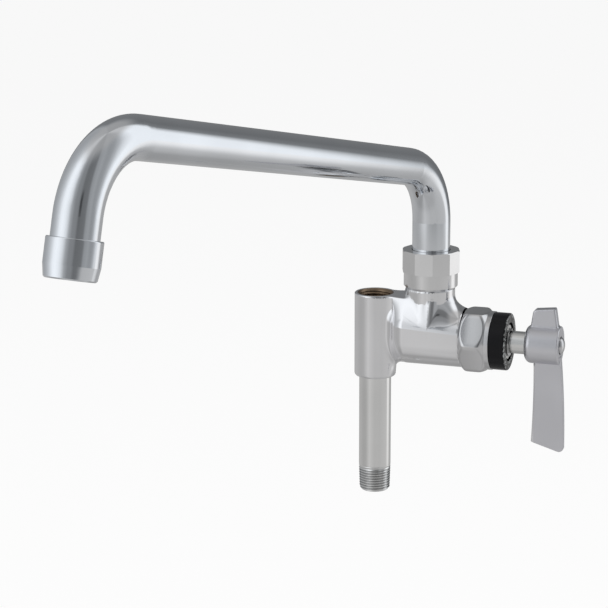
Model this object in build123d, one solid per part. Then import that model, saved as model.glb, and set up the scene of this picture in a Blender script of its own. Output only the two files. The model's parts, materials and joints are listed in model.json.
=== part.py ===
from build123d import *
from math import cos, pi, radians, sin
import os

# An add-on faucet for a pre-rinse unit: a forged valve body that stands on a pipe nipple, with a
# quarter-turn ceramic cartridge in its side barrel and a swing spout on its boss.
# Sizes are in millimetres.  The origin is the centre of the nipple's lower end.  +Z runs up the
# nipple, and +X runs out along the valve barrel to the lever.

CUT_ROOM = 1.0                   # a cutting tool's run past an open face
SECTOR_STEPS = 12                # of the polygon that bounds a sector

# ---- 3/8-18 NPT pipe ----
PIPE_OD = 17.145
PIPE_BORE = 12.5
PIPE_TAPER = 1 / 16              # of the thread, on its diameter
THREAD_ROOM = 0.03               # radial, in a made-up joint

# ---- inlet nipple ----
NIPPLE_EXPOSED = 64.0            # from its lower end to the body
NIPPLE_ENGAGED = 12.2            # screwed into the body

# ---- column of the body ----
COLUMN_WALL = 2.6                # round the pipe thread
COLUMN_HEIGHT = 45.6
COLUMN_BORE = 13.2
COLUMN_FOOT_ROUND = 1.8
RISER_SOCKET_DEPTH = 13.0
RISER_SOCKET_CHAMFER = 1.15
SOCKET_END_ROOM = 0.4            # above the end of the nipple
WEB_INSET = 0.75                 # each side, from the column's width

# ---- valve barrel of the body ----
AXIS_BELOW_TOP = 21.6            # valve axis, under the column's top
SHOULDER_X = 49.2                # end face that the bonnet nut stops at
BARREL_WALL = 4.7
BARREL_TAPER = 0.5               # radial, from the shoulder to the dome
DOME_X = 14.0                    # where the barrel starts to round off
DOME_LENGTH = 15.5
BARREL_NECK_LENGTH = 8.8
BARREL_NECK_WALL = 2.7
SEAT_X = 16.0
SEAT_PORT = 11.0
GALLERY_START = 25.0             # ring-shaped water space round the cartridge
GALLERY_LENGTH = 12.0
GALLERY_DEPTH = 1.2

# ---- spout boss of the body ----
SPOUT_X = 30.2
SWIVEL_OD = 16.0
SWIVEL_RUNNING_FIT = 0.05        # radial
NUT_LIP_HOLD = 0.675             # the split ring's width under the spout nut's lip
BOSS_STEP = 1.8                  # from the threaded neck out to the boss
BOSS_RISE = 5.0                  # above the column's top
BOSS_NECK_LENGTH = 12.0
BOSS_BORE_DEPTH = 20.0
BOSS_WATERWAY = 11.0
FLARE_RADIUS = 10.0              # boss into barrel
BLEND_RADIUS = 4.5               # column and web into barrel

# ---- shoulder block between the column and the boss ----
SHOULDER_START = 11.0
SHOULDER_LENGTH = 16.5
SHOULDER_FOOT_INSET = 0.7        # from the barrel's radius, level with the valve axis
SHOULDER_LEAN = 0.7              # inward, over the upright part
SHOULDER_UPRIGHT = 12.0          # above the valve axis
SHOULDER_TOP_INSET = 1.77        # each side, from the column's width
SHOULDER_END_ROUND = 4.5

# ---- ceramic cartridge ----
CARTRIDGE_OD = 21.0
CHAMBER_FIT = 0.1                # radial
HOUSING_LIP_X = 1.6              # open end of the housing, off the seat
CUP_WALL = 1.3
DISC_FIT = 0.1                   # radial, discs in the housing's cup
SEAL_THICKNESS = 2.5
SEAL_WIDTH = 2.9
FIXED_DISC_THICKNESS = 3.2
MOVING_DISC_THICKNESS = 3.4
FACE_GAP = 0.02                  # between lapped faces
PORT_INNER_R = 2.6
PORT_OUTER_R = 7.9
PORT_SWEEP = 78.0                # degrees
LOBE_OVERLAP = 5.0               # degrees, each side of a port
LOBE_HUB_R = 2.4
KEY_WIDTH = 4.0
KEY_FIT = 0.05
DRIVE_SLOT_DEPTH = 1.5
DRIVE_WIDTH = 5.0
DRIVE_LENGTH = 14.0
WINDOW_WIDTH = 12.0
WINDOW_ROOM = 0.5                # past the moving disc
CUP_END_X = 34.0
FLANGE_THICKNESS = 2.5
FLANGE_STEP = 0.4                # the flange's rim, inside the neck's radius
NECK_TUBE_OD = 22.0
NECK_TUBE_LENGTH = 9.5           # outward from the flange
TIP_OD = 17.8
TIP_LENGTH = 2.6
HOUSING_SEAL_X = 53.0

# ---- stem ----
STEM_OD = 11.84
STEM_RUNNING_FIT = 0.05          # radial
STEM_COLLAR_OD = 16.6
STEM_COLLAR_LENGTH = 2.0
STEM_WEB_OD = 9.0                # between the drive tongue and the collar
FRICTION_WASHER = 0.9
STEM_EXPOSED = 9.6               # from the housing's tip to the lever
STEM_IN_HUB = 1.8                # full diameter, inside the lever's counterbore
SPLINE_LENGTH = 13.0
SPLINE_TEETH = 20
SPLINE_TIP_R = 5.1
SPLINE_ROOT_R = 4.6
SPLINE_FIT = 0.05
STEM_SEAL_SPACING = 6.0
STEM_SEAL_X = 44.0
CLIP_THICKNESS = 0.8
CLIP_WIDTH = 2.4
CLIP_GROOVE_DEPTH = 0.8
CLIP_GAP = 0.1                   # off the housing's tip
CLIP_OPENING = 60.0              # degrees

# ---- rubber rings ----
RING_SECTION = 1.4
RING_SIDES = 8                   # of the section, in place of a round one
RING_GROOVE_ROOM = 0.42          # along the groove, beside the ring
RING_SQUEEZE_ROOM = 0.02

# ---- bonnet nut and index ring ----
BONNET_NUT_WALL = 2.4            # over the neck's thread, at a flat
NUT_THREAD_ROOM = 0.1
NUT_COLLAR_LENGTH = 1.3          # round face at the shoulder end
NUT_COLLAR_STEP = 0.3
NUT_END_LENGTH = 2.8             # round face at the index ring
NUT_CROWN = 1.9                  # length of the domed corners
NUT_LIP = 4.4
INDEX_RING_OD = 30.2
INDEX_RING_LENGTH = 8.3
INDEX_RING_LIP = 0.8             # radial, past the housing's neck
INDEX_RING_ROUND = 0.7

# ---- lever ----
HUB_OD = 20.2
HUB_LENGTH = 18.0
HUB_ROUND = 3.2
HUB_END_ROUND = 0.5
FIN_HEIGHT = 19.9                # above the stem's axis
FIN_FALL = 1.1                   # its top edge drops toward the body
FIN_THICKNESS = 5.8
FIN_ROUND = 0.9
FIN_ROOT = 5.0                   # above the axis, inside the hub
FIN_CORNER = 1.2                 # its inner top corner is cut off
FIN_FILLET = 1.2                 # fin into hub
FIN_FOOT = 1.8                   # along the hub, bare at the rounded end
FIN_TOP_START = 4.8
FIN_TOP_END = 15.2
BLADE_ROOT = 6.0                 # below the axis, inside the hub
BLADE_START = 4.2                # along the hub, at the root
BLADE_OVERHANG = 0.3             # past the hub's end, at the root
BLADE_TIP_START = 3.6
BLADE_TIP_OVERHANG = 3.2
BLADE_LENGTH = 58.2              # from the axis to the long corner
BLADE_SLANT = 5.3                # the short corner stops this much higher
BLADE_BULGE = 0.5                # each side bows out midway
BLADE_ROOT_THICKNESS = 5.4
BLADE_TIP_THICKNESS = 2.6
BLADE_CORNER = 2.6
BLADE_BEVEL = 1.0
BLADE_EDGE_ROUND = 0.35
SCREW_SEAT_DEPTH = 1.2
SCREW_SEAT_ROOM = 0.45
SCREW_HEAD_OD = 8.8
SCREW_HEAD_HEIGHT = 3.4
SCREW_RIM = 1.3
SCREW_OD = 4.9
SCREW_LENGTH = 11.0
SCREW_THREAD_ROOM = 0.03

# ---- swing spout ----
REACH = 304.8                    # 12 in, from the swivel's axis to the outlet's centre
TUBE_OD = 19.05
TUBE_WALL = 1.2
END_SWELL = 0.4                  # radial, the tube's riser and drop are sized up
SPOUT_AZIMUTH = -102.4           # degrees from +X
RISER_TOP = 15.1                 # above the spout nut, to the first bend
BEND_RADIUS = 33.1
ARM_SLOPE = 11.0                 # degrees up
NOSE_BEND_RADIUS = 35.1
DROP_LEAN = 14.25                # degrees out from straight down
DROP_LENGTH = 24.75              # last bend to the outlet
FERRULE_WALL = 1.57
FERRULE_LENGTH = 16.3
FERRULE_TAPER_LENGTH = 5.6
FERRULE_MOUTH_STEP = 0.8         # radial, at the foot of the taper
FERRULE_RIM_CHAMFER = 0.6
FERRULE_TOP_ROUND = 0.6
BRAZE_ROOM = 0.03
OUTLET_SHELF = 7.0               # tube end, above the outlet
OUTLET_WALL = 1.4                # round the flow regulator
REGULATOR_SETBACK = 1.4
REGULATOR_ROOM = 0.05
REGULATOR_RIM = 1.0
REGULATOR_VANES = 6
REGULATOR_VANE = 0.8
REGULATOR_CORE_R = 1.8

# ---- swivel joint ----
SWIVEL_WASHER = 1.0
SWIVEL_GAP = 0.1                 # between the washer, the split ring and the nut
SPLIT_RING = 2.2
SPLIT_RING_DEPTH = 0.8           # of its groove
SPLIT_RING_ROOM = 0.2
SPLIT_OPENING = 20.0             # degrees
SLEEVE_BORE = 11.0
SLEEVE_IN_TUBE = 11.5
SLEEVE_FOOT_GAP = 0.6
SLEEVE_SEAL_Z = 3.6              # first groove, above the sleeve's foot
SLEEVE_SEAL_SPACING = 7.0

# ---- spout nut ----
SPOUT_NUT_SIDES = 10
SPOUT_NUT_WALL = 3.0             # collar, over the neck's thread
SPOUT_NUT_STEP = 1.25            # facets' corners, outside the collar
SPOUT_NUT_LIP = 4.7
SPOUT_NUT_FACET_LENGTH = 12.0
SPOUT_NUT_FOOT = 1.2             # chamfer under the collar
SPOUT_NUT_CROWN = 0.5
SPOUT_NUT_TUBE_ROOM = 0.3
SPOUT_NUT_TURN = -71.7           # degrees, one corner's direction


# ---- sizes that follow from those above ----
pipe_r = PIPE_OD / 2
column_r = pipe_r + COLUMN_WALL
column_foot = NIPPLE_EXPOSED
column_top = column_foot + COLUMN_HEIGHT
axis_z = column_top - AXIS_BELOW_TOP
web_half = column_r - WEB_INSET

cartridge_r = CARTRIDGE_OD / 2
chamber_r = cartridge_r + CHAMBER_FIT
barrel_r = chamber_r + BARREL_WALL
barrel_neck_r = chamber_r + BARREL_NECK_WALL
barrel_end_x = SHOULDER_X + BARREL_NECK_LENGTH

tube_r = TUBE_OD / 2
tube_end_r = tube_r + END_SWELL
tube_hole_r = tube_end_r + SPOUT_NUT_TUBE_ROOM
swivel_r = SWIVEL_OD / 2
boss_bore_r = swivel_r + SWIVEL_RUNNING_FIT
boss_neck_r = tube_hole_r + NUT_LIP_HOLD + SPLIT_RING_ROOM
boss_r = boss_neck_r + BOSS_STEP
boss_top = column_top + BOSS_RISE
boss_neck_top = boss_top + BOSS_NECK_LENGTH
boss_floor = boss_neck_top - BOSS_BORE_DEPTH

disc_r = cartridge_r - CUP_WALL - DISC_FIT
fixed_disc_x = SEAT_X + SEAL_THICKNESS + FACE_GAP
moving_disc_x = fixed_disc_x + FIXED_DISC_THICKNESS + FACE_GAP
tongue_x = moving_disc_x + MOVING_DISC_THICKNESS - DRIVE_SLOT_DEPTH + FACE_GAP
flange_end_x = barrel_end_x + FLANGE_THICKNESS
neck_end_x = flange_end_x + NECK_TUBE_LENGTH
tip_x = neck_end_x + TIP_LENGTH
nut_end_x = flange_end_x + NUT_LIP
index_end_x = nut_end_x + INDEX_RING_LENGTH
bonnet_flat_r = barrel_neck_r + NUT_THREAD_ROOM + BONNET_NUT_WALL

stem_r = STEM_OD / 2
stem_bore_r = stem_r + STEM_RUNNING_FIT
collar_x = CUP_END_X - FRICTION_WASHER - 2 * STEM_RUNNING_FIT - STEM_COLLAR_LENGTH
hub_x = tip_x + STEM_EXPOSED
hub_end_x = hub_x + HUB_LENGTH
hub_r = HUB_OD / 2
spline_x = hub_x + STEM_IN_HUB
stem_end_x = spline_x + SPLINE_LENGTH
screw_seat_x = hub_end_x - SCREW_SEAT_DEPTH
screw_r = SCREW_OD / 2

ring_r = RING_SECTION / 2
groove_length = RING_SECTION + RING_GROOVE_ROOM
clip_groove_r = stem_r - CLIP_GROOVE_DEPTH
washer_z = boss_neck_top + SWIVEL_GAP
split_ring_z = washer_z + SWIVEL_WASHER + SWIVEL_GAP
nut_shelf_z = split_ring_z + SPLIT_RING + SWIVEL_GAP
spout_nut_top = nut_shelf_z + SPOUT_NUT_LIP
sleeve_foot = boss_floor + SLEEVE_FOOT_GAP
tube_foot = nut_shelf_z + SWIVEL_GAP
spout_nut_bore_r = boss_neck_r + NUT_THREAD_ROOM
spout_collar_r = spout_nut_bore_r + SPOUT_NUT_WALL
spout_corner_r = spout_collar_r + SPOUT_NUT_STEP
ferrule_socket_r = tube_end_r + BRAZE_ROOM
ferrule_r = ferrule_socket_r + FERRULE_WALL
outlet_r = ferrule_r - FERRULE_MOUTH_STEP - OUTLET_WALL


# ---- helpers ----
def turned_x(*points):
    """Solid turned about the valve axis from a closed outline of (x, radius) points."""
    outline = Plane.XZ * make_face(Polyline(*points, close=True))
    return Pos(0, 0, axis_z) * revolve(outline, Axis.X)


def turned_z(*points):
    """Solid turned about Z from a closed outline of (radius, z) points."""
    return revolve(Plane.XZ * make_face(Polyline(*points, close=True)), Axis.Z)


def rubber_ring(centre_r):
    """O-ring about Z; a many-sided section stands for its round one."""
    section = Plane.XZ * Pos(centre_r, 0) * RegularPolygon(ring_r - RING_SQUEEZE_ROOM, RING_SIDES)
    return revolve(section, Axis.Z)


def rod_x(radius, start, end):
    """Cylinder on the valve axis between two stations."""
    return turned_x((start, 0), (start, radius), (end, radius), (end, 0))


def rod_z(radius, start, end):
    """Cylinder on Z between two heights."""
    return turned_z((0, start), (radius, start), (radius, end), (0, end))


def band_x(inner_r, outer_r, start, end):
    """Tube on the valve axis between two stations."""
    return turned_x((start, inner_r), (start, outer_r), (end, outer_r), (end, inner_r))


def band_z(inner_r, outer_r, start, end):
    """Tube on Z between two heights."""
    return turned_z((inner_r, start), (outer_r, start), (outer_r, end), (inner_r, end))


def across_valve(profile, start, end):
    """A flat shape in the plane square to the valve axis, carried from one station to another."""
    square_on = Plane(origin=(start, 0, axis_z), x_dir=(0, 1, 0), z_dir=(1, 0, 0))
    return extrude(square_on * profile, end - start)


def sector(inner_r, outer_r, middle, sweep_angle):
    """Ring-shaped sector about the origin, centred on one direction."""
    shares = [step / SECTOR_STEPS - 0.5 for step in range(SECTOR_STEPS + 1)]
    angles = [radians(middle + sweep_angle * share) for share in shares]
    far = 2 * outer_r
    wedge = make_face(Polyline((0, 0), *[(far * cos(a), far * sin(a)) for a in angles], close=True))
    return wedge & (Circle(outer_r) - Circle(inner_r))


def on_spout(shape):
    """Moves a shape made about Z onto the swivel's axis."""
    return Pos(SPOUT_X, 0, 0) * shape


def spline_profile(root_r, tip_r):
    """Star of straight-sided teeth with flat tips and roots."""
    pitch = 2 * pi / SPLINE_TEETH
    points = []
    for tooth in range(SPLINE_TEETH):
        for share, radius in ((0.0, root_r), (0.2, root_r), (0.45, tip_r), (0.75, tip_r)):
            angle = (tooth + share) * pitch
            points.append((radius * cos(angle), radius * sin(angle)))
    return make_face(Polyline(*points, close=True))


# ---- body forging ----
def faucet_body():
    """Column, domed barrel, flared spout boss and web, blended, then bored."""
    long_x = SHOULDER_X + FLARE_RADIUS + barrel_r
    dome_r = barrel_r - BARREL_TAPER
    dome = EllipticalCenterArc((DOME_X, 0), DOME_LENGTH, dome_r, start_angle=90, arc_size=90)
    outline = [
        dome,
        Line(dome @ 1, (long_x, 0)),
        Line((long_x, 0), (long_x, barrel_r)),
        Line((long_x, barrel_r), dome @ 0),
    ]
    barrel = Pos(0, 0, axis_z) * revolve(Plane.XZ * make_face(outline), Axis.X)
    boss = on_spout(rod_z(boss_r, axis_z, boss_top))
    lump = barrel + boss
    lump = fillet(new_edges(barrel, boss, combined=lump), FLARE_RADIUS)
    lump -= Pos(SHOULDER_X, 0, axis_z) * Box(
        2 * long_x, 6 * barrel_r, 6 * barrel_r, align=(Align.MIN, Align.CENTER, Align.CENTER)
    )
    column = rod_z(column_r, column_foot, column_top)
    web = Pos(SPOUT_X / 2, 0, axis_z) * Box(
        SPOUT_X, 2 * web_half, column_top - axis_z, align=(Align.CENTER, Align.CENTER, Align.MIN)
    )
    casting = lump + web + column
    seams = new_edges(lump, web, column, combined=casting)
    creases = [edge for edge in seams if edge.center().Z < column_top - BLEND_RADIUS / 2]
    casting = fillet(creases, BLEND_RADIUS)
    foot = casting.faces().sort_by(Axis.Z)[0].outer_wire().edges()
    casting = fillet(foot, COLUMN_FOOT_ROUND)

    casting += shoulder_block()
    casting += rod_x(barrel_neck_r, SEAT_X, barrel_end_x)
    casting += on_spout(rod_z(boss_neck_r, axis_z, boss_neck_top))
    return casting - water_ways()


def shoulder_block():
    """Thick middle of the web: arched sides, and rounded off at both ends."""
    foot = barrel_r - SHOULDER_FOOT_INSET
    upright = foot - SHOULDER_LEAN
    top = column_r - SHOULDER_TOP_INSET
    rise = column_top - axis_z
    section = make_face(
        [
            ThreePointArc((foot, 0), (upright, SHOULDER_UPRIGHT), (top, rise)),
            Line((top, rise), (-top, rise)),
            ThreePointArc((-top, rise), (-upright, SHOULDER_UPRIGHT), (-foot, 0)),
            Line((-foot, 0), (foot, 0)),
        ]
    )
    block = Pos(SHOULDER_START, 0, axis_z) * extrude(Plane.YZ * section, SHOULDER_LENGTH)
    arched = [edge for edge in block.edges() if edge.geom_type == GeomType.CIRCLE]
    return fillet(arched, SHOULDER_END_ROUND)


def water_ways():
    """Everything that is bored out of the forging."""
    socket_r = pipe_r + THREAD_ROOM
    taper = NIPPLE_ENGAGED * PIPE_TAPER / 2
    socket_end = column_foot + NIPPLE_ENGAGED + SOCKET_END_ROOM
    bored = rod_z(COLUMN_BORE / 2, column_foot - CUT_ROOM, column_top + CUT_ROOM)
    bored += turned_z(
        (0, column_foot - CUT_ROOM),
        (socket_r, column_foot - CUT_ROOM),
        (socket_r, column_foot),
        (socket_r - taper, column_foot + NIPPLE_ENGAGED),
        (socket_r - taper, socket_end),
        (0, socket_end),
    )
    rim = RISER_SOCKET_CHAMFER
    bored += turned_z(
        (0, column_top - RISER_SOCKET_DEPTH),
        (socket_r, column_top - RISER_SOCKET_DEPTH),
        (socket_r, column_top - rim),
        (socket_r + 2 * rim, column_top + rim),
        (0, column_top + rim),
    )
    bored += rod_x(SEAT_PORT / 2, 0, SEAT_X)
    bored += rod_x(chamber_r, SEAT_X, barrel_end_x + CUT_ROOM)
    bored += rod_x(chamber_r + GALLERY_DEPTH, GALLERY_START, GALLERY_START + GALLERY_LENGTH)
    bored += on_spout(rod_z(BOSS_WATERWAY / 2, axis_z, boss_floor + CUT_ROOM))
    bored += on_spout(rod_z(boss_bore_r, boss_floor, boss_neck_top + CUT_ROOM))
    return bored


def inlet_nipple():
    """Pipe nipple: a plain run of pipe, and the tapered end that is made up in the body."""
    bore_r = PIPE_BORE / 2
    top = NIPPLE_EXPOSED + NIPPLE_ENGAGED
    small_r = pipe_r - NIPPLE_ENGAGED * PIPE_TAPER / 2
    return turned_z(
        (bore_r, 0), (pipe_r, 0), (pipe_r, NIPPLE_EXPOSED), (small_r, top), (bore_r, top)
    )


# ---- cartridge ----
def cartridge_housing():
    """Brass housing: disc cup with key notches and side windows, flange, neck and tip."""
    start = SEAT_X + HOUSING_LIP_X
    cup_r = cartridge_r - CUP_WALL
    flange_r = barrel_neck_r - FLANGE_STEP
    groove_r = cartridge_r - RING_SECTION
    neck_r = NECK_TUBE_OD / 2
    tip_r = TIP_OD / 2
    housing = turned_x(
        (start, cup_r),
        (start, cartridge_r),
        (HOUSING_SEAL_X, cartridge_r),
        (HOUSING_SEAL_X, groove_r),
        (HOUSING_SEAL_X + groove_length, groove_r),
        (HOUSING_SEAL_X + groove_length, cartridge_r),
        (barrel_end_x, cartridge_r),
        (barrel_end_x, flange_r),
        (flange_end_x, flange_r),
        (flange_end_x, neck_r),
        (neck_end_x, neck_r),
        (neck_end_x, tip_r),
        (tip_x, tip_r),
        (tip_x, stem_bore_r),
        (CUP_END_X, stem_bore_r),
        (CUP_END_X, cup_r),
    )
    notch = Rectangle(KEY_WIDTH + 2 * KEY_FIT, 2 * CARTRIDGE_OD)
    notches = across_valve(notch, start - CUT_ROOM, moving_disc_x)
    window_start = moving_disc_x + MOVING_DISC_THICKNESS + WINDOW_ROOM
    windows = across_valve(Rectangle(WINDOW_WIDTH, 2 * CARTRIDGE_OD), window_start, collar_x)
    return housing - notches - windows


def housing_o_ring():
    """Rubber ring that seals the housing in its chamber."""
    centre = HOUSING_SEAL_X + groove_length / 2
    ring = rubber_ring(cartridge_r - ring_r - RING_SQUEEZE_ROOM)
    return Pos(centre, 0, axis_z) * Rot(0, 90, 0) * ring


def seat_seal():
    """Rubber ring pressed between the body's seat and the fixed disc."""
    return band_x(disc_r - SEAL_WIDTH, disc_r, SEAT_X, SEAT_X + SEAL_THICKNESS)


def fixed_disc():
    """Ceramic disc with two ports, held from turning by two keys."""
    keys = Rectangle(KEY_WIDTH, 2 * (cartridge_r - KEY_FIT))
    plate = Circle(disc_r) + (keys & Circle(cartridge_r - KEY_FIT))
    for middle in (90, 270):
        plate -= sector(PORT_INNER_R, PORT_OUTER_R, middle, PORT_SWEEP)
    return across_valve(plate, fixed_disc_x, fixed_disc_x + FIXED_DISC_THICKNESS)


def moving_disc():
    """Ceramic bow-tie that covers both ports at rest, with a slot across its back."""
    plate = Circle(LOBE_HUB_R)
    for middle in (90, 270):
        plate += sector(LOBE_HUB_R / 2, disc_r - DISC_FIT, middle, PORT_SWEEP + 2 * LOBE_OVERLAP)
    end = moving_disc_x + MOVING_DISC_THICKNESS
    disc = across_valve(plate, moving_disc_x, end)
    slot = Rectangle(DRIVE_WIDTH + 2 * KEY_FIT, DRIVE_LENGTH + 2 * KEY_FIT)
    return disc - across_valve(slot, end - DRIVE_SLOT_DEPTH, end + CUT_ROOM)


def cartridge_stem():
    """Stem from its drive tongue to its splined end, with grooves for the rings and the clip."""
    tongue_end = moving_disc_x + MOVING_DISC_THICKNESS + DRIVE_SLOT_DEPTH
    web_r = STEM_WEB_OD / 2
    collar_end = collar_x + STEM_COLLAR_LENGTH
    groove_r = stem_r - RING_SECTION
    clip_x = tip_x + CLIP_GAP
    stem = rod_x(web_r, tongue_end, collar_x) + rod_x(STEM_COLLAR_OD / 2, collar_x, collar_end)
    stem += rod_x(stem_r, collar_end, spline_x)
    for index in range(2):
        start = STEM_SEAL_X + index * STEM_SEAL_SPACING
        stem -= band_x(groove_r, stem_r + CUT_ROOM, start, start + groove_length)
    clip_end = clip_x + CLIP_THICKNESS + CLIP_GAP
    stem -= band_x(clip_groove_r, stem_r + CUT_ROOM, clip_x - CLIP_GAP / 2, clip_end)
    tongue = Rectangle(DRIVE_WIDTH, DRIVE_LENGTH)
    stem += across_valve(tongue, tongue_x, tongue_end)
    stem += across_valve(spline_profile(SPLINE_ROOT_R, SPLINE_TIP_R), spline_x, stem_end_x)
    screw_hole_end = screw_seat_x - SCREW_LENGTH - CUT_ROOM
    return stem - rod_x(screw_r + SCREW_THREAD_ROOM, screw_hole_end, stem_end_x + CUT_ROOM)


def stem_o_rings():
    """Two rubber rings in the stem's grooves."""
    ring = rubber_ring(stem_r - ring_r)
    first = STEM_SEAL_X + groove_length / 2
    places = [Pos(first + index * STEM_SEAL_SPACING, 0, axis_z) for index in range(2)]
    return Compound(children=[place * Rot(0, 90, 0) * ring for place in places])


def friction_washer():
    """Acetal washer between the stem's collar and the end of the housing's cup."""
    start = collar_x + STEM_COLLAR_LENGTH + STEM_RUNNING_FIT
    return band_x(stem_bore_r, STEM_COLLAR_OD / 2, start, start + FRICTION_WASHER)


def stem_clip():
    """Open spring clip in the stem's groove, just outside the housing's tip."""
    start = tip_x + CLIP_GAP
    inner_r = clip_groove_r + FACE_GAP
    ring = sector(inner_r, inner_r + CLIP_WIDTH, 270, 360 - CLIP_OPENING)
    return across_valve(ring, start, start + CLIP_THICKNESS)


def bonnet_nut():
    """Hexagon nut with domed corners between two round faces; its lip clamps the flange."""
    corner_r = bonnet_flat_r / cos(pi / 6)
    round_r = bonnet_flat_r - NUT_COLLAR_STEP
    hexagon = across_valve(RegularPolygon(corner_r, 6, rotation=0), SHOULDER_X, nut_end_x)
    envelope = turned_x(
        (SHOULDER_X, 0),
        (SHOULDER_X, round_r),
        (SHOULDER_X + NUT_COLLAR_LENGTH, round_r),
        (SHOULDER_X + NUT_COLLAR_LENGTH + NUT_CROWN, corner_r),
        (nut_end_x - NUT_END_LENGTH - NUT_CROWN, corner_r),
        (nut_end_x - NUT_END_LENGTH, round_r),
        (nut_end_x, round_r),
        (nut_end_x, 0),
    )
    cavity_r = barrel_neck_r + NUT_THREAD_ROOM
    inside = rod_x(cavity_r, SHOULDER_X - CUT_ROOM, flange_end_x)
    lip_r = NECK_TUBE_OD / 2 + NUT_THREAD_ROOM
    inside += rod_x(lip_r, flange_end_x - CUT_ROOM, nut_end_x + CUT_ROOM)
    return (hexagon & envelope) - inside


def index_ring():
    """Moulded ring pushed over the housing's neck up to its lip."""
    outer_r = INDEX_RING_OD / 2
    neck_r = NECK_TUBE_OD / 2
    lip_x = neck_end_x + FACE_GAP
    ring = turned_x(
        (nut_end_x, neck_r + THREAD_ROOM),
        (nut_end_x, outer_r),
        (index_end_x, outer_r),
        (index_end_x, neck_r - INDEX_RING_LIP),
        (lip_x, neck_r - INDEX_RING_LIP),
        (lip_x, neck_r + THREAD_ROOM),
    )
    circles = ring.edges().filter_by(GeomType.CIRCLE)
    rim = [edge for edge in circles if edge.radius > outer_r - INDEX_RING_ROUND]
    return fillet(rim, INDEX_RING_ROUND)


# ---- lever ----
def lever_handle():
    """Cast lever: a hub with a short fin above it and a long tapering blade below."""
    hub = rod_x(hub_r, hub_x, hub_end_x)
    ends = hub.edges().filter_by(GeomType.CIRCLE).sort_by(Axis.X)
    hub = fillet(ends[0], HUB_ROUND)
    hub = fillet(hub.edges().filter_by(GeomType.CIRCLE).sort_by(Axis.X)[-1], HUB_END_ROUND)
    fin = lever_fin()
    head = hub + fin
    head = fillet(new_edges(hub, fin, combined=head), FIN_FILLET)
    handle = head + lever_blade()
    handle -= rod_x(stem_bore_r, hub_x - CUT_ROOM, spline_x)
    socket = spline_profile(SPLINE_ROOT_R + SPLINE_FIT, SPLINE_TIP_R + SPLINE_FIT)
    handle -= across_valve(socket, spline_x - CUT_ROOM, stem_end_x + SPLINE_FIT)
    handle -= rod_x(screw_r + 2 * SPLINE_FIT, spline_x, hub_end_x + CUT_ROOM)
    seat_r = SCREW_HEAD_OD / 2 + SCREW_SEAT_ROOM
    return handle - rod_x(seat_r, screw_seat_x, hub_end_x + HUB_ROUND)


def lever_fin():
    """Flat grip above the hub, its ends leaning in and its edges rounded."""
    outline = Polyline(
        (hub_x + FIN_FOOT, FIN_ROOT),
        (hub_x + FIN_TOP_START - FIN_CORNER, FIN_HEIGHT - FIN_FALL - FIN_CORNER),
        (hub_x + FIN_TOP_START, FIN_HEIGHT - FIN_FALL),
        (hub_x + FIN_TOP_END, FIN_HEIGHT),
        (hub_end_x - HUB_END_ROUND, FIN_ROOT),
        close=True,
    )
    side = Plane(origin=(0, 0, axis_z), x_dir=(1, 0, 0), z_dir=(0, -1, 0)) * make_face(outline)
    fin = extrude(side, FIN_THICKNESS / 2, both=True)
    upper = [edge for edge in fin.edges() if edge.center().Z > axis_z + FIN_ROOT + FIN_ROUND]
    return fillet(upper, FIN_ROUND)


def lever_blade():
    """Blade that widens and thins toward a slanted tip, bevelled along its inner edge."""
    root = -BLADE_ROOT
    long_z = -BLADE_LENGTH
    short_z = BLADE_SLANT - BLADE_LENGTH
    inner_root = hub_x + BLADE_START
    inner_tip = hub_x + BLADE_TIP_START
    outer_root = hub_end_x + BLADE_OVERHANG
    outer_tip = hub_end_x + BLADE_TIP_OVERHANG
    middle = (root + short_z) / 2
    outline = [
        Line((inner_root, root), (outer_root, root)),
        ThreePointArc(
            (outer_root, root),
            ((outer_root + outer_tip) / 2 + BLADE_BULGE, middle),
            (outer_tip, long_z),
        ),
        Line((outer_tip, long_z), (inner_tip, short_z)),
        ThreePointArc(
            (inner_tip, short_z),
            ((inner_root + inner_tip) / 2 + BLADE_BULGE, middle),
            (inner_root, root),
        ),
    ]
    face = make_face(outline)
    tip_corner = face.vertices().sort_by(Axis.Y)[0]
    face = fillet(tip_corner, BLADE_CORNER)
    side = Plane(origin=(0, 0, axis_z), x_dir=(1, 0, 0), z_dir=(0, -1, 0)) * face
    blade = extrude(side, BLADE_ROOT_THICKNESS, both=True)
    wedge = make_face(
        Polyline(
            (-BLADE_ROOT_THICKNESS / 2, root),
            (BLADE_ROOT_THICKNESS / 2, root),
            (BLADE_TIP_THICKNESS / 2, long_z),
            (-BLADE_TIP_THICKNESS / 2, long_z),
            close=True,
        )
    )
    blade &= across_valve(wedge, hub_x - hub_r, hub_end_x + hub_r)
    inner = [
        edge
        for edge in blade.edges()
        if edge.length > BLADE_LENGTH / 2 and edge.center().X < (inner_root + outer_root) / 2
    ]
    blade = chamfer(inner, BLADE_BEVEL)
    outer = [
        edge
        for edge in blade.edges()
        if edge.length > BLADE_LENGTH / 2 and edge.center().X > (inner_root + outer_root) / 2
    ]
    return fillet(outer, BLADE_EDGE_ROUND)


def handle_screw():
    """Button-head screw through the lever into the stem."""
    head_r = SCREW_HEAD_OD / 2
    crown_x = screw_seat_x + SCREW_HEAD_HEIGHT
    rim_x = screw_seat_x + SCREW_RIM
    crown = EllipticalCenterArc((rim_x, 0), crown_x - rim_x, head_r, start_angle=0, arc_size=90)
    outline = [
        crown,
        Line(crown @ 1, (screw_seat_x, head_r)),
        Line((screw_seat_x, head_r), (screw_seat_x, 0)),
        Line((screw_seat_x, 0), crown @ 0),
    ]
    head = Pos(0, 0, axis_z) * revolve(Plane.XZ * make_face(outline), Axis.X)
    return head + rod_x(screw_r, screw_seat_x - SCREW_LENGTH, screw_seat_x + SCREW_RIM / 2)


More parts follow.
